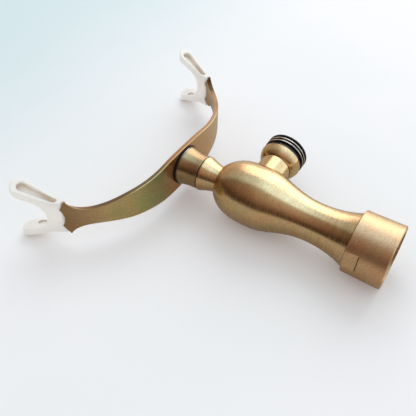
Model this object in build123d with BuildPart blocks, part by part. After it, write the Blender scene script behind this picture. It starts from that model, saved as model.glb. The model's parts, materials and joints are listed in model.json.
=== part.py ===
from build123d import *
from math import cos, radians, sin
import os

# Swivel riser of a telephone-style bath mixer: a captive union nut at the foot, a bulb-shaped
# turned body, a side outlet for the shower hose with its check valve, and on top a cradle
# that swivels and carries the hand shower in two plastic forks.
#
# Millimetres. +Z runs up the riser. The origin is the centre of the union nut's lower face.
# +X is the hose outlet's axis.

os.makedirs("parts", exist_ok=True)

FIT = 0.05  # radial clearance of a running fit
GAP = 0.02  # clearance under a flat face that turns or lifts

# ---- union nut and tailpiece (G 3/4 connection) ----
nut_height = 17.9
nut_foot_radius = 14.7
nut_top_radius = 14.4
nut_thread_radius = 12.1  # minor radius of the female G 3/4 thread
nut_relief_radius = 12.6  # undercut above the thread, round the washer and the flange
nut_lip_z = 13.5
nut_flat_length = 6.5
nut_flat_distance = 13.85
nut_flat_angle = 14.0
washer_bottom_z = 7.5
flange_bottom_z = 9.5
flange_top_z = nut_lip_z - 0.1
flange_radius = 11.7
washer_radius = 11.6
shank_radius = 9.0
water_bore_radius = 6.0
seal_height = 1.2
strainer_radius = 7.0
strainer_thickness = 0.8
strainer_hole_radius = 0.6
strainer_rows = [(1.9, 6), (3.5, 12), (5.1, 18)]  # radius of each ring of holes and its count

# ---- riser body ----
body_bottom_z = 18.2
crease_z = 85.1
neck_top_z = 94.6
body_profile = [
    (12.8, 18.2), (10.2, 26.6), (9.3, 35.0), (9.8, 43.4), (11.9, 51.7),
    (14.35, 60.0), (14.75, 68.4), (13.7, 76.7), (8.4, crease_z),
]
neck_profile = [(6.3, crease_z), (6.6, 87.6), (7.5, 91.2), (8.55, 94.0)]
neck_top_radius = 8.6
foot_thread_radius = 8.0
foot_thread_depth = 9.0
chamber_radius = 9.4
chamber_bottom_z = 56.0
chamber_top_z = 76.0

# ---- hose outlet, turned about an axis along X at this height ----
outlet_z = 67.7
outlet_neck_radius = 7.7
outlet_neck_start = 9.6
outlet_seam_width = 0.35
outlet_seam_radius = 7.35
ring_start = 21.2
ring_end = 26.7
ring_radius = 10.45
# the ring's bell-shaped back, from the seam to its full radius
ring_profile = [(ring_start, 7.75), (21.9, 8.6), (23.4, 9.55), (25.1, 10.2), (26.3, ring_radius)]
ring_edge = 0.35
outlet_bore_radius = 5.2
ring_thread_radius = 7.6
ring_thread_start = 21.8
thread_radius = 10.48  # half of the 20.955 mm major diameter of G 1/2
thread_root_radius = 9.32
thread_pitch = 1.814  # 14 threads per inch
thread_crests = 3
crest_half_land = 0.25
crest_half_foot = 0.75
adapter_end = 33.7
adapter_bore_radius = 4.5
adapter_collar_length = 0.9
adapter_collar_radius = 10.13
cage_radius = 5.85
cage_bore_radius = 4.4
cage_start = 24.4
cage_end = 32.8
poppet_travel = 1.5
seat_thickness = 1.2
seat_hole_radius = 3.0
guide_thickness = 1.2
guide_hub_radius = 2.0
guide_arm_width = 1.1
stem_radius = 1.0
poppet_radius = 3.8
poppet_boss_radius = 2.6
poppet_boss_height = 0.4
spring_wire = 0.22
spring_radius = 1.6
spring_turns = 5

# ---- swivel ----
post_radius = 5.0
post_top_z = 101.0
post_thread_radius = 4.0
post_thread_depth = 9.0
post_edge = 0.4
clip_groove_radius = 4.3
clip_radius = 6.2
clip_thickness = 0.8
clip_gap = 2.4
sleeve_bottom_z = 95.3
sleeve_top_z = 105.0
sleeve_shoulder_z = 99.0
sleeve_pocket_radius = 7.0
sleeve_outline = [(8.45, sleeve_bottom_z + 0.3), (8.5, 98.5), (8.95, 102.2), (9.6, sleeve_top_z - 0.2)]
oring_radii = (6.2, 8.42)
thrust_washer_radius = 6.6
shim_radius = 9.65
shim_thickness = 0.3
cradle_washer_radius = 9.9
cradle_washer_thickness = 1.0

# ---- cradle ----
cradle_rest_angle = 4.6
strip_thickness = 2.0
strip_bottom_z = sleeve_top_z + shim_thickness + cradle_washer_thickness
strip_flat_half = 15.2
strip_bend_radius = 52.0  # of the strip's lower surface
bend_centre_z = strip_bottom_z + strip_bend_radius
strip_end_angle = 57.0
strip_blank_angle = 66.0
strip_side = [(0, 10.9), (13, 10.6), (26, 9.0), (38, 7.3), (48, 5.2), (54, 5.3)]
horn_corner = (58.2, 9.8)
horn_slant = 3.0  # the horn's inner tip stands this far beyond its corner
horn_tip_half = 5.1
crescent_depth = 1.7
tongue = 1.2  # the strip's end enters the fork's groove by this much
strip_edge_break = 0.2
screw_radius = 3.0
screw_head_radius = 5.4
screw_head_height = 2.8
screw_head_rounding = 1.4
screw_slot_width = 1.3
lock_washer_radius = 5.2
lock_washer_thickness = 0.9

cradle_top = Plane.XY.rotated((0, 0, cradle_rest_angle))
cradle_side = Plane(origin=(0, 0, 0), x_dir=cradle_top.x_dir, z_dir=-cradle_top.y_dir)
cradle_front = Plane(origin=(0, 0, 0), x_dir=cradle_top.y_dir, z_dir=cradle_top.x_dir)
outlet_plane = Plane(origin=(0, 0, outlet_z), x_dir=(0, 1, 0), z_dir=(1, 0, 0))


def save(builder, name):
    """Label a finished piece and write its STEP file."""
    builder.part.label = name
    export_step(builder.part, f"parts/{name}.step")


def turned(start, curve=None, end=None, axis=Axis.Z, plane=Plane.XZ):
    """A solid of revolution from a closed outline of straight sides, with one curve if asked."""
    with BuildPart() as piece:
        with BuildSketch(plane):
            with BuildLine():
                if curve:
                    Polyline(*start, curve[0])
                    Spline(*curve)
                    Polyline(curve[-1], *end, start[0])
                else:
                    Polyline(*start, close=True)
            make_face()
        revolve(axis=axis)
    return piece


def ring(inner, outer, bottom, top, plane=Plane.XY, edge=0.0):
    """A flat ring between two heights along the plane's normal, with rounded edges if asked."""
    with BuildPart() as piece:
        with BuildSketch(plane.offset(bottom)):
            Circle(outer)
            if inner > 0:
                Circle(inner, mode=Mode.SUBTRACT)
        extrude(amount=top - bottom)
        if edge > 0:
            fillet(piece.edges().filter_by(GeomType.CIRCLE), edge)
    return piece


# =========================== inlet ===========================

# Union nut: a plain turned collar with a female thread, an undercut and an inner lip that
# draws the tailpiece down, and two shallow spanner flats milled at its upper rim.
with BuildPart() as union_nut:
    with BuildSketch(Plane.XZ):
        with BuildLine():
            Polyline(
                (nut_thread_radius, 0),
                (nut_foot_radius, 0),
                (nut_top_radius, nut_height),
                (shank_radius + FIT, nut_height),
                (shank_radius + FIT, nut_lip_z),
                (nut_relief_radius, nut_lip_z),
                (nut_relief_radius, washer_bottom_z),
                (nut_thread_radius, washer_bottom_z),
                close=True,
            )
        make_face()
    revolve(axis=Axis.Z)
    outer_rims = union_nut.edges().filter_by(GeomType.CIRCLE).group_by(SortBy.RADIUS)
    chamfer(outer_rims[-1], 0.3)
    chamfer(outer_rims[-2], 0.3)
    flat_plane = Plane.XY.offset(nut_height - nut_flat_length).rotated((0, 0, nut_flat_angle))
    with BuildSketch(flat_plane):
        for side in (-1, 1):
            with Locations((side * (nut_flat_distance + 2), 0)):
                Rectangle(4, 16)
    extrude(amount=nut_flat_length + 1, mode=Mode.SUBTRACT)
save(union_nut, "union_nut")

# Tailpiece: the flange held by the nut, a plain shank for the nut to turn on, and a
# threaded spigot screwed up into the body.
tailpiece = turned([
    (water_bore_radius, flange_bottom_z),
    (flange_radius, flange_bottom_z),
    (flange_radius, flange_top_z),
    (shank_radius, flange_top_z),
    (shank_radius, body_bottom_z),
    (foot_thread_radius, body_bottom_z),
    (foot_thread_radius, body_bottom_z + foot_thread_depth - 0.5),
    (water_bore_radius, body_bottom_z + foot_thread_depth - 0.5),
])
save(tailpiece, "tailpiece")

tailpiece_seal = ring(foot_thread_radius, shank_radius, body_bottom_z, body_bottom_z + seal_height)
save(tailpiece_seal, "tailpiece_seal")

union_washer = ring(strainer_radius, washer_radius, washer_bottom_z, flange_bottom_z)
save(union_washer, "union_washer")

# Inlet strainer: a punched disc in the washer's eye.
with BuildPart() as inlet_strainer:
    with BuildSketch(Plane.XY.offset(flange_bottom_z - strainer_thickness)):
        Circle(strainer_radius)
        Circle(strainer_hole_radius, mode=Mode.SUBTRACT)
        for row_radius, count in strainer_rows:
            with PolarLocations(row_radius, count):
                Circle(strainer_hole_radius, mode=Mode.SUBTRACT)
    extrude(amount=strainer_thickness)
save(inlet_strainer, "inlet_strainer")

# =========================== riser body ===========================

with BuildPart() as riser_body:
    with BuildSketch(Plane.XZ):
        with BuildLine():
            Spline(*body_profile)
            Line(body_profile[-1], neck_profile[0])
            Spline(*neck_profile)
            Line(neck_profile[-1], (neck_top_radius, neck_top_z))
            Line((neck_top_radius, neck_top_z), (0, neck_top_z))
            Line((0, neck_top_z), (0, body_bottom_z))
            Line((0, body_bottom_z), body_profile[0])
        make_face()
    revolve(axis=Axis.Z)
    # water way with its chamber behind the outlet
    with BuildSketch(Plane.XZ):
        with BuildLine():
            Polyline(
                (0, body_bottom_z),
                (shank_radius, body_bottom_z),
                (shank_radius, body_bottom_z + seal_height),
                (foot_thread_radius, body_bottom_z + seal_height),
                (foot_thread_radius, body_bottom_z + foot_thread_depth),
                (water_bore_radius, body_bottom_z + foot_thread_depth),
                (water_bore_radius, chamber_bottom_z - 5),
                (chamber_radius, chamber_bottom_z),
                (chamber_radius, chamber_top_z - 3),
                (0, chamber_top_z),
                close=True,
            )
        make_face()
    revolve(axis=Axis.Z, mode=Mode.SUBTRACT)
    # seat of the outlet boss
    with BuildSketch(outlet_plane):
        Circle(outlet_bore_radius)
    extrude(amount=outlet_neck_start + 1, mode=Mode.SUBTRACT)
    with BuildSketch(outlet_plane.offset(outlet_neck_start)):
        Circle(outlet_neck_radius)
    extrude(amount=ring_start - outlet_neck_start, mode=Mode.SUBTRACT)
    # blind tapped hole for the pivot post
    with BuildSketch(Plane.XY.offset(neck_top_z)):
        Circle(post_thread_radius)
    extrude(amount=-post_thread_depth - 0.5, mode=Mode.SUBTRACT)
save(riser_body, "riser_body")

# =========================== hose outlet ===========================

# Outlet boss: brazed into the body, a bell-shaped ring tapped for the adapter.
outlet_boss = turned([
    (outlet_neck_start, outlet_z + outlet_bore_radius),
    (outlet_neck_start, outlet_z + outlet_neck_radius),
    (ring_start - outlet_seam_width, outlet_z + outlet_neck_radius),
    (ring_start - outlet_seam_width, outlet_z + outlet_seam_radius),
    (ring_start, outlet_z + outlet_seam_radius),
], [(x, outlet_z + radius) for x, radius in ring_profile], [
    (ring_end, outlet_z + ring_radius - ring_edge),
    (ring_end, outlet_z + ring_thread_radius),
    (ring_thread_start, outlet_z + ring_thread_radius),
    (ring_thread_start, outlet_z + outlet_bore_radius),
], axis=Axis((0, 0, outlet_z), (1, 0, 0)))
save(outlet_boss, "outlet_boss")

adapter_start = ring_thread_start + 0.6
adapter_seal = ring(outlet_bore_radius, ring_thread_radius, ring_thread_start, adapter_start, outlet_plane)
save(adapter_seal, "adapter_seal")

# Hose adapter: black, with a G 1/2 male thread for the shower hose.
with BuildPart() as hose_adapter:
    with BuildSketch(outlet_plane.offset(adapter_start)):
        Circle(ring_thread_radius)
    extrude(amount=ring_end - adapter_start)
    with BuildSketch(outlet_plane.offset(ring_end)):
        Circle(thread_root_radius)
    extrude(amount=adapter_end - ring_end)
    with BuildSketch(outlet_plane.offset(ring_end)):
        Circle(adapter_collar_radius)
    extrude(amount=adapter_collar_length)
    first_crest = adapter_end - 0.45 - (thread_crests - 1) * thread_pitch
    crest_foot_z = outlet_z + thread_root_radius - 0.2
    for turn in range(thread_crests):
        crest_x = first_crest + turn * thread_pitch
        with BuildSketch(Plane.XZ):
            with BuildLine():
                Polyline(
                    (crest_x - crest_half_foot, crest_foot_z),
                    (crest_x - crest_half_land, outlet_z + thread_radius),
                    (crest_x + crest_half_land, outlet_z + thread_radius),
                    (min(crest_x + crest_half_foot, adapter_end), crest_foot_z),
                    close=True,
                )
            make_face()
        revolve(axis=Axis((0, 0, outlet_z), (1, 0, 0)))
    with BuildSketch(outlet_plane.offset(adapter_start)):
        Circle(adapter_bore_radius)
    extrude(amount=adapter_end, mode=Mode.SUBTRACT)
    with BuildSketch(outlet_plane.offset(cage_start)):
        Circle(cage_radius)
    extrude(amount=adapter_end, mode=Mode.SUBTRACT)
save(hose_adapter, "hose_adapter")

# Check valve cartridge: a cage with a seat at its inner end and a four-armed guide at its
# outer end, pressed into the adapter.
with BuildPart() as check_cage:
    with BuildSketch(outlet_plane.offset(cage_start)):
        Circle(cage_radius)
        Circle(cage_bore_radius, mode=Mode.SUBTRACT)
    extrude(amount=cage_end - cage_start)
    with BuildSketch(outlet_plane.offset(cage_start)):
        Circle(cage_bore_radius)
        Circle(seat_hole_radius, mode=Mode.SUBTRACT)
    extrude(amount=seat_thickness)
    with BuildSketch(outlet_plane.offset(cage_end - guide_thickness)):
        Circle(guide_hub_radius)
        Rectangle(2 * cage_bore_radius + 0.4, guide_arm_width)
        Rectangle(guide_arm_width, 2 * cage_bore_radius + 0.4)
        Circle(stem_radius + FIT, mode=Mode.SUBTRACT)
    extrude(amount=guide_thickness)
save(check_cage, "check_cage")

seat_face_x = cage_start + seat_thickness
head_front_x = seat_face_x + 0.5
head_back_x = head_front_x + 1.0
with BuildPart() as check_poppet:
    with BuildSketch(outlet_plane.offset(head_front_x)):
        Circle(poppet_radius)
    extrude(amount=head_back_x - head_front_x)
    with BuildSketch(outlet_plane.offset(head_front_x)):
        Circle(poppet_boss_radius)
    extrude(amount=-poppet_boss_height)
    with BuildSketch(outlet_plane.offset(head_back_x)):
        Circle(stem_radius)
    extrude(amount=adapter_end - 0.2 - poppet_travel - head_back_x)
save(check_poppet, "check_poppet")

poppet_seal = ring(
    poppet_boss_radius, poppet_radius - 0.1, seat_face_x + GAP, head_front_x, outlet_plane
)
save(poppet_seal, "poppet_seal")

# Check spring: a light coil between the poppet's head and the guide.
spring_length = cage_end - guide_thickness - head_back_x - 2 * (spring_wire + GAP)
with BuildPart() as check_spring:
    with BuildLine():
        coil = Helix(
            pitch=spring_length / spring_turns,
            height=spring_length,
            radius=spring_radius,
            center=(head_back_x + spring_wire + GAP, 0, outlet_z),
            direction=(1, 0, 0),
        )
    with BuildSketch(Plane(origin=coil @ 0, z_dir=coil % 0)):
        Circle(spring_wire)
    sweep(path=coil, is_frenet=True)
save(check_spring, "check_spring")

# =========================== swivel ===========================

clip_bottom_z = sleeve_shoulder_z + 0.5
pivot_post = turned([
    (0, neck_top_z - post_thread_depth),
    (post_thread_radius, neck_top_z - post_thread_depth),
    (post_thread_radius, neck_top_z),
    (post_radius, neck_top_z),
    (post_radius, clip_bottom_z),
    (clip_groove_radius, clip_bottom_z),
    (clip_groove_radius, clip_bottom_z + clip_thickness),
    (post_radius, clip_bottom_z + clip_thickness),
    (post_radius, post_top_z - post_edge),
    (post_radius - post_edge, post_top_z),
    (0, post_top_z),
])
save(pivot_post, "pivot_post")

swivel_oring = ring(*oring_radii, neck_top_z, sleeve_bottom_z - GAP, edge=0.3)
save(swivel_oring, "swivel_oring")

with BuildPart() as swivel_sleeve:
    with BuildSketch(Plane.XZ):
        with BuildLine():
            Spline(*sleeve_outline)
            Polyline(
                sleeve_outline[-1],
                (sleeve_outline[-1][0] - 0.2, sleeve_top_z),
                (sleeve_pocket_radius, sleeve_top_z),
                (sleeve_pocket_radius, sleeve_shoulder_z),
                (post_radius + FIT, sleeve_shoulder_z),
                (post_radius + FIT, sleeve_bottom_z),
                (sleeve_outline[0][0] - 0.25, sleeve_bottom_z),
                sleeve_outline[0],
            )
        make_face()
    revolve(axis=Axis.Z)
save(swivel_sleeve, "swivel_sleeve")

# Thrust washer of nylon between the sleeve's shoulder and the circlip; it stays with the post.
thrust_washer = ring(post_radius, thrust_washer_radius, sleeve_shoulder_z + GAP, clip_bottom_z)
save(thrust_washer, "thrust_washer")

# Circlip: an open ring in the post's groove.
with BuildPart() as circlip:
    with BuildSketch(Plane.XY.offset(clip_bottom_z)):
        Circle(clip_radius)
        Circle(clip_groove_radius, mode=Mode.SUBTRACT)
        with Locations((0, -clip_radius)):
            Rectangle(clip_gap, clip_radius, mode=Mode.SUBTRACT)
    extrude(amount=clip_thickness)
save(circlip, "circlip")

# Sleeve plug: screwed into the sleeve's pocket and tapped for the cradle screw.
plug_bottom_z = post_top_z + 0.4
sleeve_plug = ring(screw_radius, sleeve_pocket_radius, plug_bottom_z, sleeve_top_z)
save(sleeve_plug, "sleeve_plug")

shim_washer = ring(screw_radius, shim_radius, sleeve_top_z, sleeve_top_z + shim_thickness)
save(shim_washer, "shim_washer")

cradle_washer_bottom_z = sleeve_top_z + shim_thickness
cradle_washer = ring(
    screw_radius, cradle_washer_radius, cradle_washer_bottom_z, strip_bottom_z, edge=0.25
)
save(cradle_washer, "cradle_washer")

# =========================== cradle ===========================


def bend_point(side, radius, degrees):
    """The point (x, z) at this angle along one of the strip's two bends."""
    angle = radians(degrees)
    return side * (strip_flat_half + radius * sin(angle)), bend_centre_z - radius * cos(angle)


def end_plane(side):
    """The plane that touches the strip's middle surface near its end; x runs off the end."""
    angle = radians(strip_end_angle)
    reach, height = bend_point(side, strip_bend_radius - strip_thickness / 2, strip_end_angle)
    return Plane(
        origin=cradle_top.from_local_coords((reach, 0, height)),
        x_dir=cradle_top.from_local_coords((side * cos(angle), 0, sin(angle))),
        z_dir=cradle_top.from_local_coords((-side * sin(angle), 0, cos(angle))),
    )


def fishtail(side, shift, reach):
    """The flat region from the strip's fishtail edge to x = reach in the end plane.

    shift moves the edge along the strip."""
    corner = (shift - 1.6, horn_corner[1] + 0.3)
    tip = (corner[0] + horn_slant, horn_tip_half)
    shoulder = (corner[0] - 0.6, 16)
    with BuildSketch(end_plane(side)) as region:
        with BuildLine():
            Polyline(tip, corner, shoulder, (reach, 16), (reach, -16), (shoulder[0], -16))
            Polyline((shoulder[0], -16), (corner[0], -corner[1]), (tip[0], -tip[1]))
            ThreePointArc((tip[0], -tip[1]), (tip[0] - crescent_depth, 0), tip)
        make_face()
    return region.sketch


strip_ends = [fishtail(side, tongue, 16) for side in (-1, 1)]

with BuildPart() as cradle_strip:
    with BuildSketch(cradle_side):
        lower = strip_bend_radius
        upper = strip_bend_radius - strip_thickness
        with BuildLine():
            for side in (-1, 1):
                for radius in (lower, upper):
                    start, middle, end = [
                        bend_point(side, radius, strip_blank_angle * share) for share in (0, 0.5, 1)
                    ]
                    ThreePointArc(start, middle, end)
                Line(
                    bend_point(side, lower, strip_blank_angle),
                    bend_point(side, upper, strip_blank_angle),
                )
            for radius in (lower, upper):
                Line(bend_point(-1, radius, 0), bend_point(1, radius, 0))
        make_face()
    extrude(amount=12, both=True)
    # plan outline: widest at the middle, waisted, then flared into the fishtail
    with BuildSketch(cradle_top.offset(strip_bottom_z - 1)):
        with BuildLine():
            for y_side in (-1, 1):
                right = [(x, y_side * y) for x, y in strip_side + [horn_corner]]
                left = [(-x, y) for x, y in reversed(right[1:])]
                Spline(*left, *right)
                for x_side in (-1, 1):
                    Line(
                        (x_side * horn_corner[0], y_side * horn_corner[1]),
                        (x_side * (horn_corner[0] + 5), y_side * (horn_corner[1] + 0.5)),
                    )
            for x_side in (-1, 1):
                Line(
                    (x_side * (horn_corner[0] + 5), -horn_corner[1] - 0.5),
                    (x_side * (horn_corner[0] + 5), horn_corner[1] + 0.5),
                )
        make_face()
    extrude(amount=40, mode=Mode.INTERSECT)
    for strip_end in strip_ends:
        extrude(strip_end, amount=6, both=True, mode=Mode.SUBTRACT)
    # the edges are broken all round; the short edges across the strip's thickness stay sharp
    long_edges = cradle_strip.edges().filter_by(lambda e: e.length > 1.5 * strip_thickness)
    chamfer(long_edges, strip_edge_break)
    with BuildSketch(Plane.XY.offset(strip_bottom_z - 1)):
        Circle(screw_radius + 0.2)
    extrude(amount=6, mode=Mode.SUBTRACT)
save(cradle_strip, "cradle_strip")

strip_top_z = strip_bottom_z + strip_thickness
lock_washer_top_z = strip_top_z + lock_washer_thickness
with BuildPart() as lock_washer:
    with BuildSketch(Plane.XY.offset(strip_top_z)):
        Circle(lock_washer_radius)
        Circle(screw_radius + 0.1, mode=Mode.SUBTRACT)
        with Locations((lock_washer_radius - 0.7, 0)):
            Rectangle(4, 0.8, rotation=30, mode=Mode.SUBTRACT)
    extrude(amount=lock_washer_thickness)
save(lock_washer, "lock_washer")

# Cradle screw: a slotted pan head.
with BuildPart() as cradle_screw:
    with BuildSketch(Plane.XY.offset(plug_bottom_z + 0.3)):
        Circle(screw_radius)
    extrude(amount=lock_washer_top_z - plug_bottom_z - 0.3)
    with BuildSketch(Plane.XY.offset(lock_washer_top_z)):
        Circle(screw_head_radius)
    extrude(amount=screw_head_height)
    fillet(cradle_screw.faces().sort_by(Axis.Z)[-1].edges(), screw_head_rounding)
    with BuildSketch(Plane.XY.offset(lock_washer_top_z + screw_head_height).rotated((0, 0, 35))):
        Rectangle(3 * screw_head_radius, screw_slot_width)
    extrude(amount=-screw_slot_width, mode=Mode.SUBTRACT)
save(cradle_screw, "cradle_screw")

# Forks: milky plastic saddles. Each has a base on the strip's end and two splayed prongs.
# The mould leaves a long tapered recess on the outer side of each prong and a small oval
# one on its inner side.
fork_side = [(57.0, 130.5), (58.0, 136.0), (58.8, 142.0), (59.6, 148.0)]
fork_top = [(59.6, 148.0), (61.0, 151.8), (64.4, 153.2), (68.0, 151.6), (68.6, 149.2)]
fork_back = [(68.6, 149.2), (66.6, 144.2), (63.3, 138.0), (59.7, 131.6)]
saddle_bottom_z = 138.4
saddle_waist = (5.8, 140.2)
saddle_side_z = 145.0
fork_foot_z = 124.0
horn_z = 131.0  # height of the strip horns
fork_foot_half = 9.6
prong_root_z = 135.5
prong_thickness = 4.0
fork_waist = (9.0, 134.0)
fork_splay = 0.36  # sideways run of a prong for each millimetre of its height
fork_height = 154.0
fork_edge_radius = 0.6
recess_middle = (61.8, 141.3)
recess_lean = 0.32
recess_tip = (7.2, 2.5)  # place along the recess and radius of its upper end
recess_base = (-7.6, 1.2)
recess_depth = 2.4
oval_middle = (61.2, 144.4)
oval_length = 5.2
oval_width = 2.8
oval_depth = 1.0


def prong_y(z):
    """Half-width of the fork over its prongs at height z."""
    return fork_waist[0] + fork_splay * (z - fork_waist[1])


def prong_face(side, half, middle, inset):
    """A plane through a prong at the given depth below its outer face, x running up the prong."""
    x, z = middle
    return Plane(
        origin=cradle_top.from_local_coords((side * x, half * (prong_y(z) - inset), z)),
        x_dir=cradle_top.from_local_coords((side * recess_lean, half * fork_splay, 1)),
        z_dir=cradle_top.from_local_coords((0, half, -fork_splay)),
    )


def fork(side):
    strip_room = fishtail(side, 0, -20)
    with BuildPart() as piece:
        with BuildSketch(cradle_side):
            with BuildLine():
                Spline(*[(side * x, z) for x, z in fork_side])
                Spline(*[(side * x, z) for x, z in fork_top])
                Spline(*[(side * x, z) for x, z in fork_back])
                Line((side * fork_back[-1][0], fork_back[-1][1]), (side * fork_side[0][0], fork_side[0][1]))
            make_face()
        extrude(amount=18, both=True)
        with BuildSketch(cradle_front):
            with BuildLine():
                for half in (-1, 1):
                    outer_top = (half * prong_y(fork_height), fork_height)
                    inner_top = (half * (prong_y(fork_height) - prong_thickness), fork_height)
                    saddle_side = (half * (prong_y(saddle_side_z) - prong_thickness), saddle_side_z)
                    Polyline(
                        (0, fork_foot_z),
                        (half * fork_foot_half, fork_foot_z),
                        (half * fork_foot_half, horn_z),
                        (half * prong_y(prong_root_z), prong_root_z),
                        outer_top,
                        inner_top,
                        saddle_side,
                    )
                    waist = (half * saddle_waist[0], saddle_waist[1])
                    ThreePointArc(saddle_side, waist, (0, saddle_bottom_z))
            make_face()
        extrude(amount=side * 80, mode=Mode.INTERSECT)
        prong_edges = piece.edges().filter_by(lambda e: e.center().Z > saddle_bottom_z + 0.6)
        fillet(prong_edges, fork_edge_radius)
        for half in (-1, 1):
            with BuildSketch(prong_face(side, half, recess_middle, -1)):
                for place, radius in (recess_tip, recess_base):
                    with Locations((place, 0)):
                        Circle(radius)
                make_hull()
            extrude(amount=-recess_depth - 1, mode=Mode.SUBTRACT)
            with BuildSketch(prong_face(side, half, oval_middle, prong_thickness - oval_depth)):
                SlotOverall(oval_length, oval_width)
            extrude(amount=-oval_depth - 1, mode=Mode.SUBTRACT)
        add(cradle_strip.part, mode=Mode.SUBTRACT)
        extrude(strip_room, amount=9, both=True, mode=Mode.SUBTRACT)
    return piece


for side, name in ((-1, "left_fork"), (1, "right_fork")):
    save(fork(side), name)
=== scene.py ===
import json

import bpy
from mathutils import Matrix, Vector


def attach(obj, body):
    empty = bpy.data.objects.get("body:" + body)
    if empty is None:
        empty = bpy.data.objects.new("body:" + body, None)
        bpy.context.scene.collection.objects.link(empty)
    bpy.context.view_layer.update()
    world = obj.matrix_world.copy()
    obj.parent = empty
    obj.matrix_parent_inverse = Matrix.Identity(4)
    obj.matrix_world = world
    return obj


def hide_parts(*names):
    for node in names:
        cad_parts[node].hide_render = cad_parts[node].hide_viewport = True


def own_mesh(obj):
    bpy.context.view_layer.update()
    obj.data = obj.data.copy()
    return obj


# The looks of a bath mixer's riser with its hand shower cradle: brushed antique brass, a glossy
# black hose thread, black seals and milky plastic forks. The part lies on a pale table, so the
# table is a plane beside the upright frame: the foot of the nut and the lower prongs touch it.
# Lengths are in metres, in the frame's axes.

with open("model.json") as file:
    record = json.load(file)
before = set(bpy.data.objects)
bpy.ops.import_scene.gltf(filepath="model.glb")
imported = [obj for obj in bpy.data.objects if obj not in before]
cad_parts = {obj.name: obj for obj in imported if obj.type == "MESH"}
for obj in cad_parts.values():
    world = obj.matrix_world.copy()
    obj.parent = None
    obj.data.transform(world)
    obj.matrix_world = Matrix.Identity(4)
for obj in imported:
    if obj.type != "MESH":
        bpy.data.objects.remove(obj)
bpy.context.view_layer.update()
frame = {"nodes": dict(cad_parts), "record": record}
nodes = frame["nodes"]


def add_object(name, data):
    obj = bpy.data.objects.new(name, data)
    bpy.context.scene.collection.objects.link(obj)
    return obj


# ---------------------------------------------------------------- camera

# The viewpoint of the photograph, fitted to the outlines of the turned parts.
CAMERA_PLACE = Vector((-0.14917, -0.19374, -0.00983))
CAMERA_FORWARD = Vector((0.52318, 0.77047, 0.36423))
CAMERA_UP = Vector((0.6585, -0.63677, 0.40113))
CAMERA_SENSOR = 36  # millimetres, like the lens
CAMERA_LENS = 47.43
CAMERA_NEAR = 0.01
CAMERA_FAR = 20


def make_camera():
    camera = add_object("camera", bpy.data.cameras.new("camera"))
    camera.data.sensor_width = CAMERA_SENSOR
    camera.data.lens = CAMERA_LENS
    camera.data.clip_start = CAMERA_NEAR
    camera.data.clip_end = CAMERA_FAR
    forward = CAMERA_FORWARD.normalized()
    right = forward.cross(CAMERA_UP).normalized()
    up = right.cross(forward)
    turn = Matrix((right, up, -forward)).transposed()
    camera.matrix_world = Matrix.Translation(CAMERA_PLACE) @ turn.to_4x4()
    bpy.context.scene.camera = camera


make_camera()


# ---------------------------------------------------------------- node helpers

# The colour sockets of Blender's mix node.
MIX_FACTOR = 0
MIX_A = 6
MIX_B = 7
MIX_RESULT = 2


class Nodes:
    """A small helper that writes node trees as nested calls."""

    def __init__(self, tree):
        self.tree = tree
        self.tree.nodes.clear()

    def add(self, kind, inputs=None, **settings):
        """A new node. Each input is a socket to link or a constant, three numbers for a colour."""
        node = self.tree.nodes.new(kind)
        for name, value in settings.items():
            setattr(node, name, value)
        for name, value in (inputs or {}).items():
            socket = node.inputs[name]
            if isinstance(value, bpy.types.NodeSocket):
                self.tree.links.new(value, socket)
            elif socket.type == "RGBA":
                socket.default_value = (*value, 1)
            else:
                socket.default_value = value
        return node

    def ramp(self, factor, stops, smooth=False):
        """A colour ramp. Each stop is a place from 0 to 1 with a colour or a grey."""
        node = self.add("ShaderNodeValToRGB", {"Fac": factor})
        if smooth:
            node.color_ramp.interpolation = "EASE"
        elements = node.color_ramp.elements
        while len(elements) < len(stops):
            elements.new(0.5)
        for element, (place, value) in zip(elements, stops):
            color = value if isinstance(value, tuple) else (value, value, value)
            element.position = place
            element.color = (*color, 1)
        return node.outputs["Color"]

    def mix(self, factor, a, b, blend="MIX"):
        inputs = {MIX_FACTOR: factor, MIX_A: a, MIX_B: b}
        node = self.add("ShaderNodeMix", inputs, data_type="RGBA", blend_type=blend)
        return node.outputs[MIX_RESULT]

    def multiply(self, a, b):
        """Two colours multiplied."""
        return self.mix(1.0, a, b, "MULTIPLY")

    def math(self, operation, a, b=0.0, c=0.5):
        node = self.add("ShaderNodeMath", {0: a, 1: b, 2: c}, operation=operation)
        return node.outputs[0]

    def product(self, first, *others):
        """Numbers multiplied."""
        for other in others:
            first = self.math("MULTIPLY", first, other)
        return first

    def distance(self, a, b):
        """How far the point (a, b) lies from the origin."""
        return self.math("SQRT", self.math("ADD", self.product(a, a), self.product(b, b)))

    def between(self, value, low, high):
        """1 between low and high, and 0 elsewhere."""
        above = self.math("GREATER_THAN", value, low)
        below = self.math("LESS_THAN", value, high)
        return self.product(above, below)

    def place(self):
        return self.add("ShaderNodeTexCoord").outputs["Object"]

    def split(self, vector):
        """The X, Y and Z of a vector."""
        return self.add("ShaderNodeSeparateXYZ", {"Vector": vector}).outputs

    def noise(self, place, scale, detail):
        inputs = {"Vector": place, "Scale": scale, "Detail": detail}
        return self.add("ShaderNodeTexNoise", inputs).outputs["Fac"]

    def choose(self, factor, first, second):
        """The first shader where the factor is 0, the second where it is 1."""
        inputs = {0: factor, 1: first.outputs[0], 2: second.outputs[0]}
        return self.add("ShaderNodeMixShader", inputs)


def new_material(name):
    material = bpy.data.materials.new(name)
    material.use_nodes = True
    return material, Nodes(material.node_tree)


# ---------------------------------------------------------------- stage

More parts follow.
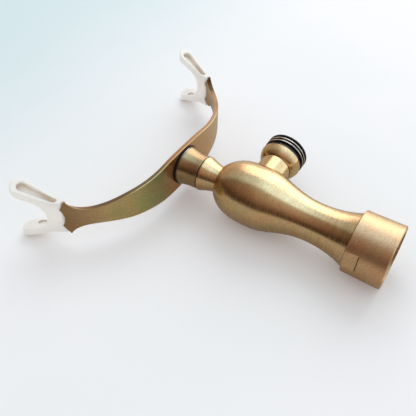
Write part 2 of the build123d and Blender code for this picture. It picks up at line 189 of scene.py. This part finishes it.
TABLE_NORMAL = Vector((0.0802, -0.9968, 0.0))  # away from the table, towards the object
TABLE_HALF = 1.6
TABLE_GAP = 0.0002
TABLE_CLOUD = (9.0, 3.0)  # scale and detail of a noise, like the other clouds and grains
TABLE_COOL = (0.78, 0.82, 0.83)
TABLE_WARM = (0.82, 0.83, 0.85)
TABLE_LIFT = (0.135, 0.100, 0.088)  # a faint glow that keeps the shadows light
# the table's colour in the metal's reflections: a dimmer copy, painted shade in the reflections
TABLE_IN_REFLECTION = (0.62, 0.60, 0.54)
FAR_SHADE = (0.70, 0.86, 0.88)
FAR_SHADE_SPAN = 0.5  # the height that the shade's ramp covers


def far_side(node):
    """How far the lowest point of a node lies towards the table, and its height up the riser."""
    corner = min(nodes[node].data.vertices, key=lambda v: v.co.dot(TABLE_NORMAL))
    return -corner.co.dot(TABLE_NORMAL), corner.co.z


def table_material():
    material, n = new_material("table_white")
    place = n.place()
    color = n.ramp(n.noise(place, *TABLE_CLOUD), [(0.3, TABLE_COOL), (0.7, TABLE_WARM)])
    # the far corner of the table falls into a cool half shade
    height = n.math("MULTIPLY", n.split(place)["Z"], 1 / FAR_SHADE_SPAN)
    shade = n.ramp(height, [(0.26, 1.0), (0.62, FAR_SHADE)], smooth=True)
    surface = n.add("ShaderNodeBsdfPrincipled", {
        "Base Color": n.multiply(color, shade), "Roughness": 0.6, "Specular IOR Level": 0.2,
    })
    lift = n.add("ShaderNodeEmission", {"Color": TABLE_LIFT, "Strength": 1.0})
    bright = n.add("ShaderNodeAddShader", {0: surface.outputs[0], 1: lift.outputs[0]})
    # reflections see the dimmer copy: painted shade in the metal's reflections
    dim = n.add("ShaderNodeBsdfDiffuse", {"Color": TABLE_IN_REFLECTION})
    front = n.choose(n.add("ShaderNodeLightPath").outputs["Is Glossy Ray"], bright, dim)
    # seen from behind, the table is not there
    backfacing = n.add("ShaderNodeNewGeometry").outputs["Backfacing"]
    table = n.choose(backfacing, front, n.add("ShaderNodeBsdfTransparent"))
    n.add("ShaderNodeOutputMaterial", {"Surface": table.outputs[0]})
    return material


def make_table():
    foot, foot_z = far_side("union_nut")
    prong, prong_z = max(far_side("left_fork"), far_side("right_fork"))
    lean = (prong - foot) / (prong_z - foot_z)
    normal = (TABLE_NORMAL + Vector((0, 0, lean))).normalized()
    point = Vector((0, 0, foot_z)) - TABLE_NORMAL * foot - normal * TABLE_GAP
    across = Vector((0, 0, 1)).cross(normal).normalized() * TABLE_HALF
    along = normal.cross(across)
    outline = [point + across * a + along * b for a, b in ((-1, -1), (1, -1), (1, 1), (-1, 1))]
    mesh = bpy.data.meshes.new("table")
    mesh.from_pydata(outline, [], [(0, 1, 2, 3)])
    mesh.update()
    if mesh.polygons[0].normal.dot(normal) < 0:
        mesh.flip_normals()
    mesh.materials.append(table_material())
    table = add_object("table", mesh)


make_table()


# ---------------------------------------------------------------- light

BACKDROP = (0.86, 0.90, 0.93)
SOFT_BOX = (0.73, 0.76, 0.78)
ROOM_POWER = 1.42
ROOM_AROUND = [  # degrees around the riser's axis
    (-180, (0.16, 0.12, 0.10)),
    (-170, (0.05, 0.03, 0.015)),
    (-156, (0.10, 0.06, 0.04)),
    (-138, (0.28, 0.20, 0.17)),
    (-122, (0.40, 0.33, 0.29)),
    (-101, (0.42, 0.44, 0.40)),
    (-92, (0.98, 1.45, 1.85)),
    (-60, (1.00, 1.50, 1.95)),
    (-45, (0.95, 1.20, 1.35)),
    (-1, (1.50, 1.75, 1.90)),
    (40, (1.15, 1.15, 1.15)),
    (90, (0.45, 0.42, 0.40)),
    (180, (0.20, 0.17, 0.15)),
]
ROOM_UPWARDS = [  # from straight down at 0 to straight up at 1: dimmer and warmer overhead
    (0.0, 0.8),
    (0.40, 1.0),
    (0.56, (0.86, 0.80, 0.74)),
    (0.68, (0.48, 0.40, 0.35)),
    (0.78, (0.42, 0.32, 0.26)),
    (1.0, (0.30, 0.22, 0.16)),
]

WINDOW_PLACE = Vector((1.35, -0.95, 0.35))
WINDOW_TARGET = Vector((0, 0, 0.07))
WINDOW_SIZE = 1.3
WINDOW_POWER = 10.5
WINDOW_COLOR = (0.98, 1.0, 1.03)


def make_world():
    """The table and the plastic are lit by an even soft box, the metal mirrors a room."""
    world = bpy.data.worlds.new("studio")
    bpy.context.scene.world = world
    world.use_nodes = True
    n = Nodes(world.node_tree)
    direction = n.add("ShaderNodeTexCoord").outputs["Generated"]
    angle = n.add("ShaderNodeTexGradient", {"Vector": direction}, gradient_type="RADIAL").outputs["Fac"]
    around = n.ramp(angle, [((degrees + 180) / 360, color) for degrees, color in ROOM_AROUND])
    height = n.math("MULTIPLY_ADD", n.split(direction)["Z"], 0.5, 0.5)
    room = n.multiply(around, n.ramp(height, ROOM_UPWARDS))
    room = n.add("ShaderNodeVectorMath", {0: room, "Scale": ROOM_POWER}, operation="SCALE").outputs[0]
    paths = n.add("ShaderNodeLightPath").outputs
    light_color = n.mix(paths["Is Glossy Ray"], SOFT_BOX, room)
    light = n.add("ShaderNodeBackground", {"Color": light_color, "Strength": 1.0})
    backdrop = n.add("ShaderNodeBackground", {"Color": BACKDROP, "Strength": 1.0})
    seen = n.choose(paths["Is Camera Ray"], light, backdrop)
    n.add("ShaderNodeOutputWorld", {"Surface": seen.outputs[0]})


def make_window():
    window = bpy.data.lights.new("window", "AREA")
    window.shape = "RECTANGLE"
    window.size = WINDOW_SIZE
    window.size_y = WINDOW_SIZE
    window.energy = WINDOW_POWER
    window.color = WINDOW_COLOR
    lamp = add_object("window", window)
    lamp.location = WINDOW_PLACE
    lamp.rotation_euler = (WINDOW_TARGET - WINDOW_PLACE).to_track_quat("-Z", "Y").to_euler()


make_world()
make_window()
bpy.context.scene.view_settings.view_transform = "Standard"


# ---------------------------------------------------------------- metal

OUTLET_HEIGHT = 0.0677
METAL_CLOUD = (90.0, 3.0)
METAL_SPECK = (1600.0, 2.0)
# reach, colour and ramp of the dirt and painted shade in the metals' closed-in places
METAL_DIRT_AND_SHADE = (0.0012, (0.22, 0.15, 0.11), 0.30, 0.75)
# dark colour for the strip's oxide and for the nut's painted shade with tarnish
OXIDE_AND_SHADE = (0.17, 0.085, 0.045)
SMOOTHER = 0.05  # the roughness varies by this much below and above a metal's own
ROUGHER = 0.06
BUMP_DEPTH = 0.00005


def dirt_and_corner_shade(n, color, reach, dark, low, high):
    """Painted shade with dirt: darker where the surface is closed in."""
    open_air = n.add("ShaderNodeAmbientOcclusion", {"Distance": reach}, samples=6).outputs["AO"]
    return n.multiply(color, n.ramp(open_air, [(low, dark), (high, 1.0)]))


def metal(name, base, dark, rough, brush, bump, axis=None, oxide_and_shade=None, tints=None):
    """Brushed metal: fine lines along one direction, cloudy tints, and dirt with painted shade where the
    surface is closed in.

    brush is the noise's scale along X, Y and Z, and the lines run across the largest of them.
    axis is the one that a turned part's highlight is drawn out around.
    """
    material, n = new_material(name)
    place = n.place()
    stretched = n.add("ShaderNodeMapping", {"Vector": place, "Scale": brush}).outputs[0]
    lines = n.noise(stretched, 1.0, 5.0)
    cloudy = [(0.30, (1.0, 0.90, 0.84)), (0.5, 1.0), (0.70, (0.88, 0.98, 0.92))]
    cloud = n.ramp(n.noise(place, *METAL_CLOUD), cloudy)
    speck = n.ramp(n.noise(place, *METAL_SPECK), [(0.35, 0.80), (0.6, 1.0)])
    color = n.multiply(n.multiply(n.ramp(lines, [(0.3, dark), (0.7, base)]), cloud), speck)
    # painted reflection tints on the strip
    if tints:
        color = n.multiply(color, tints(n, place))
    # dirt with painted shade where the surface is closed in
    color = dirt_and_corner_shade(n, color, *METAL_DIRT_AND_SHADE)
    # oxide on the strip, painted shade with tarnish on the nut
    if oxide_and_shade:
        color = n.mix(oxide_and_shade(n, place), color, OXIDE_AND_SHADE)
    roughness = n.ramp(lines, [(0.3, rough - SMOOTHER), (0.7, rough + ROUGHER)])
    height = n.add("ShaderNodeBump", {"Height": lines, "Strength": bump, "Distance": BUMP_DEPTH}).outputs[0]
    inputs = {"Base Color": color, "Metallic": 1.0, "Roughness": roughness, "Normal": height}
    if axis:
        tangent = n.add("ShaderNodeTangent", direction_type="RADIAL", axis=axis).outputs[0]
        inputs |= {"Tangent": tangent, "Anisotropic": 0.6, "Anisotropic Rotation": 0.25}
    shader = n.add("ShaderNodeBsdfPrincipled", inputs)
    n.add("ShaderNodeOutputMaterial", {"Surface": shader.outputs[0]})
    return material


# the nut's shelf line: painted shade in the corner, with tarnish
SHELF_HEIGHTS = (0.0113, 0.0120)
SHELF_RADII = (0.0135, 0.01447)
SHELF_OXIDE_AND_SHADE = 0.85


def nut_patina_and_shade(n, place):
    """A dark line on the shelf that each spanner flat ends at: painted shade in the corner, with tarnish.
    """
    part = n.split(place)
    shelf = n.between(part["Z"], *SHELF_HEIGHTS)
    flat = n.between(n.distance(part["X"], part["Y"]), *SHELF_RADII)
    return n.product(shelf, flat, SHELF_OXIDE_AND_SHADE)


STRIP_ENDS_SPAN = 0.1  # the ramp towards the ends covers this much, outwards from the middle
STRIP_TINTS_SPAN = 0.125  # the painted reflection's ramp covers this much, centred on the middle


def strip_patina(n, place):
    """Dark oxide on the strip's cut edges and towards its ends."""
    facing = n.add("ShaderNodeTexCoord").outputs["Normal"]
    sideways = n.math("ABSOLUTE", n.split(facing)["Y"])
    edge = n.ramp(sideways, [(0.80, 0.0), (0.90, 0.88)])
    outwards = n.math("ABSOLUTE", n.split(place)["X"])
    ends = n.ramp(n.math("MULTIPLY", outwards, 1 / STRIP_ENDS_SPAN), [(0.46, 0.0), (0.58, 0.55)])
    return n.math("MAXIMUM", edge, ends)


def strip_painted_reflection(n, place):
    """Green and copper tints along the strip: painted reflections of the table's shade and of the body."""
    along = n.math("MULTIPLY_ADD", n.split(place)["X"], 1 / STRIP_TINTS_SPAN, 0.5)
    return n.ramp(along, [
        (0.10, (1.0, 0.95, 0.92)),
        (0.24, (0.82, 1.0, 0.82)),
        (0.34, (0.80, 1.0, 0.84)),
        (0.42, (1.0, 0.78, 0.66)),
        (0.52, (1.0, 0.86, 0.78)),
        (0.70, 1.0),
    ])


AROUND_Z = (150, 150, 5000)
COARSE_AROUND_Z = (150, 150, 3000)
AROUND_X = (4000, 150, 150)
ALONG_STRIP = (150, 6000, 150)

METALS = {
    "brushed_brass": {
        "base": (0.80, 0.53, 0.28), "dark": (0.62, 0.39, 0.20), "rough": 0.26,
        "brush": AROUND_Z, "bump": 0.25, "axis": "Z",
    },
    "sleeve_brass": {
        "base": (0.50, 0.33, 0.17), "dark": (0.36, 0.23, 0.12), "rough": 0.32,
        "brush": AROUND_Z, "bump": 0.25, "axis": "Z",
    },
    "nut_brass": {
        "base": (0.78, 0.49, 0.28), "dark": (0.66, 0.40, 0.22), "rough": 0.46,
        "brush": AROUND_Z, "bump": 0.1, "axis": "Z", "oxide_and_shade": nut_patina_and_shade,
    },
    "strip_brass": {
        "base": (0.80, 0.54, 0.29), "dark": (0.66, 0.43, 0.22), "rough": 0.32,
        "brush": ALONG_STRIP, "bump": 0.1, "oxide_and_shade": strip_patina, "tints": strip_painted_reflection,
    },
    "raw_brass": {
        "base": (0.83, 0.64, 0.36), "dark": (0.75, 0.58, 0.32), "rough": 0.3,
        "brush": COARSE_AROUND_Z, "bump": 0.1,
    },
    "outlet_brass": {
        "base": (0.80, 0.53, 0.28), "dark": (0.64, 0.41, 0.20), "rough": 0.26,
        "brush": AROUND_X, "bump": 0.2, "axis": "X",
    },
}


# ---------------------------------------------------------------- rubber, plastic and steel

PLAIN_CLOUD = (300.0, 4.0)
PLAIN_GRAIN = (2500.0, 3.0)
BARE_METAL = (0.70, 0.60, 0.52)
THREAD_CREST = 0.01036  # the radius beyond which the crests are worn
WORN_STRETCH = (0.0285, 0.0325)  # along the outlet's axis
WORN_SHARE = 0.6


def plain(name, base, rough, metallic=0.0, corner_shade=None, wear=None, extras=None):
    """Rubber, fibre, plastic or plain metal with faint mottling.

    wear gives a mask of where bare metal shows, and extras are more inputs of the shader.
    """
    material, n = new_material(name)
    place = n.place()
    mottled = [(0.3, tuple(c * 0.9 for c in base)), (0.7, base)]
    color = n.ramp(n.noise(place, *PLAIN_CLOUD), mottled)
    # painted shade where the surface is closed in
    if corner_shade:
        color = dirt_and_corner_shade(n, color, *corner_shade)
    if wear:
        metallic = wear(n, place)
        color = n.mix(metallic, color, BARE_METAL)
    fine = n.noise(place, *PLAIN_GRAIN)
    height = n.add("ShaderNodeBump", {"Height": fine, "Strength": 0.1, "Distance": BUMP_DEPTH}).outputs[0]
    inputs = {"Base Color": color, "Metallic": metallic, "Roughness": rough, "Normal": height}
    shader = n.add("ShaderNodeBsdfPrincipled", inputs | (extras or {}))
    n.add("ShaderNodeOutputMaterial", {"Surface": shader.outputs[0]})
    return material


def thread_wear(n, place):
    """Where the hose thread's crests are worn to bare metal."""
    part = n.split(place)
    radius = n.distance(part["Y"], n.math("SUBTRACT", part["Z"], OUTLET_HEIGHT))
    crest = n.math("GREATER_THAN", radius, THREAD_CREST)
    return n.product(crest, n.between(part["X"], *WORN_STRETCH), WORN_SHARE)


PLAINS = {
    "black_thread": {
        "base": (0.010, 0.010, 0.011), "rough": 0.2, "wear": thread_wear,
        "extras": {"Specular Tint": (1.0, 0.72, 0.55), "Specular IOR Level": 0.35},
    },
    "black_rubber": {
        "base": (0.010, 0.009, 0.009), "rough": 0.5,
        "extras": {"Specular Tint": (1.0, 0.75, 0.6), "Specular IOR Level": 0.35},
    },
    "fibre_washer": {"base": (0.16, 0.05, 0.04), "rough": 0.7},
    "stainless": {"base": (0.62, 0.62, 0.62), "rough": 0.25, "metallic": 1.0},
    "nylon": {"base": (0.80, 0.79, 0.74), "rough": 0.5},
    "milky_plastic": {
        # the corner shade is painted shade in the forks' slots and recesses
        "base": (0.96, 0.92, 0.86), "rough": 0.4, "corner_shade": (0.004, (0.42, 0.36, 0.31), 0.35, 0.80),
        "extras": {
            "Subsurface Weight": 0.6,
            "Subsurface Radius": (0.006, 0.005, 0.004),
            "Subsurface Scale": 1.0,
            "Transmission Weight": 0.25,
            # a faint painted glow that stands in for light passing through the plastic
            "Emission Color": (1.0, 0.93, 0.84),
            "Emission Strength": 0.12,
        },
    },
}


# ---------------------------------------------------------------- finishes on the pieces

finishes = {name: metal(name, **look) for name, look in METALS.items()}
finishes |= {name: plain(name, **look) for name, look in PLAINS.items()}

# Each node has the finish that the record names, but for two turned parts with their own brass.
slot_of = {s["node"]: s["material_slot"] for s in frame["record"]["subparts"]}
slot_of["outlet_boss"] = "outlet_brass"
slot_of["swivel_sleeve"] = "sleeve_brass"
for node, obj in nodes.items():
    for material_slot in obj.material_slots:
        material_slot.material = finishes[slot_of[node]]


# ---------------------------------------------------------------- valve spring

# The check valve's spring as a piece of its own that rides with the riser; the CAD node is hidden.
spring_node = nodes["check_spring"]
spring = add_object("valve_spring", spring_node.data.copy())
spring.matrix_world = spring_node.matrix_world.copy()
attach(spring, "riser")
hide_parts("check_spring")
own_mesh(spring)
